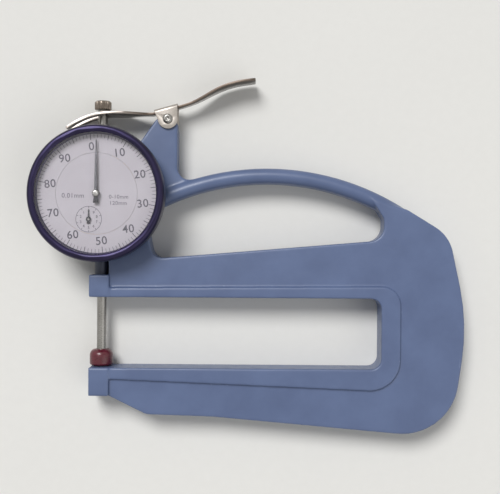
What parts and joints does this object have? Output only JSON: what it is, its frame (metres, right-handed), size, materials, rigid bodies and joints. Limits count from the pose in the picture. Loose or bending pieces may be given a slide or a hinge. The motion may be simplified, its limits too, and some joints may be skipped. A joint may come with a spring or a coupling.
{
  "type": "dial thickness gauge",
  "caption": "Deep-throat dial thickness gauge: C-shaped cast frame with an arched handle, dial indicator, sprung spindle with a flat contact tip, and a thumb lever that lifts it.",
  "frame": {"origin": "on the plane of the flat back, straight under the middle of the dial", "axes": "+X into the throat, from the spindle towards the back of the frame; +Y up the spindle, from the anvil towards the lifting cap; +Z along the pointer's axis, out of the dial"},
  "size_m": [0.1841, 0.1516, 0.028],
  "materials": {
    "frame_paint": "satin blue paint on cast aluminium",
    "steel": "ground",
    "brass": "lacquered",
    "case_finish": "dark satin",
    "dial_white": "matte white print",
    "contact_red": "satin dark red",
    "cap_dark": "knurled",
    "lever_chrome": "plated",
    "pointer_black": "black lacquer",
    "bezel_anodised": "anodised dark violet blue",
    "crystal_clear": "clear"
  },
  "bodies": {
    "frame": {"frame": "frame_paint", "lower_stem": "steel", "upper_stem": "steel", "anvil": "steel", "lever_pin": "steel", "dial_case": "case_finish", "case_screws": "steel", "lower_pillars": "brass", "middle_plate": "brass", "upper_pillars": "brass", "bridge_plate": "brass", "bridge_screws": "steel", "floor_bushes": "brass", "plate_bush": "brass", "bridge_bushes": "brass", "dial_plate": "dial_white", "bezel_retaining_ring": "steel", "guide_bracket": "brass", "guide_rod": "steel", "spring_post": "steel", "return_spring": "steel", "hairspring": "steel", "hairspring_stud": "brass"},
    "spindle": {"spindle": "steel", "contact_tip": "contact_red", "contact_face": "steel", "lift_cap": "cap_dark", "guide_arm": "brass"},
    "lever": {"lever_strip": "lever_chrome", "lever_saddle": "lever_chrome"},
    "counter": {"counter_arbor": "steel", "rack_pinion": "steel", "counter_gear": "brass", "counter_pointer": "pointer_black"},
    "pointer": {"centre_arbor": "steel", "pointer": "pointer_black", "pointer_hub": "steel"},
    "take_up": {"take_up_arbor": "steel", "take_up_gear": "brass", "hairspring_collet": "brass"},
    "bezel": {"bezel": "bezel_anodised", "crystal": "crystal_clear", "dial_ring": "dial_white"}
  },
  "joints": [
    {"name": "spindle_lift", "type": "slide", "parent": "frame", "child": "spindle", "axis": [0, 1, 0], "range_m": [0, 0.01], "stiffness_N_per_m": 60, "springref_m": -0.025, "deforming": ["return_spring"]},
    {"name": "lever_press", "type": "hinge", "parent": "frame", "child": "lever", "pos_m": [0.0283, 0.0329, 0.0075], "axis": [0, 0, 1], "range_deg": [-20.5, 0]},
    {"name": "counter_turn", "type": "hinge", "parent": "frame", "child": "counter", "pos_m": [-0.00314, -0.01071, 0.0075], "axis": [0, 0, 1], "range_deg": [0, 360]},
    {"name": "pointer_turn", "type": "hinge", "parent": "frame", "child": "pointer", "pos_m": [0, 0, 0.0075], "axis": [0, 0, 1], "range_deg": [-3600, 0]},
    {"name": "take_up_turn", "type": "hinge", "parent": "frame", "child": "take_up", "pos_m": [-0.00966, 0.00558, 0.0075], "axis": [0, 0, 1], "range_deg": [0, 360], "deforming": ["hairspring"]},
    {"name": "bezel_turn", "type": "hinge", "parent": "frame", "child": "bezel", "pos_m": [0, 0, 0.0229], "axis": [0, 0, 1], "continuous": true}
  ],
  "couplings": [
    {"joint": "lever_press", "follows": "spindle_lift", "rad_per_m": -35.336},
    {"joint": "counter_turn", "follows": "spindle_lift", "rad_per_m": 628.32},
    {"joint": "pointer_turn", "follows": "spindle_lift", "rad_per_m": -6283.2},
    {"joint": "take_up_turn", "follows": "spindle_lift", "rad_per_m": 628.32}
  ]
}
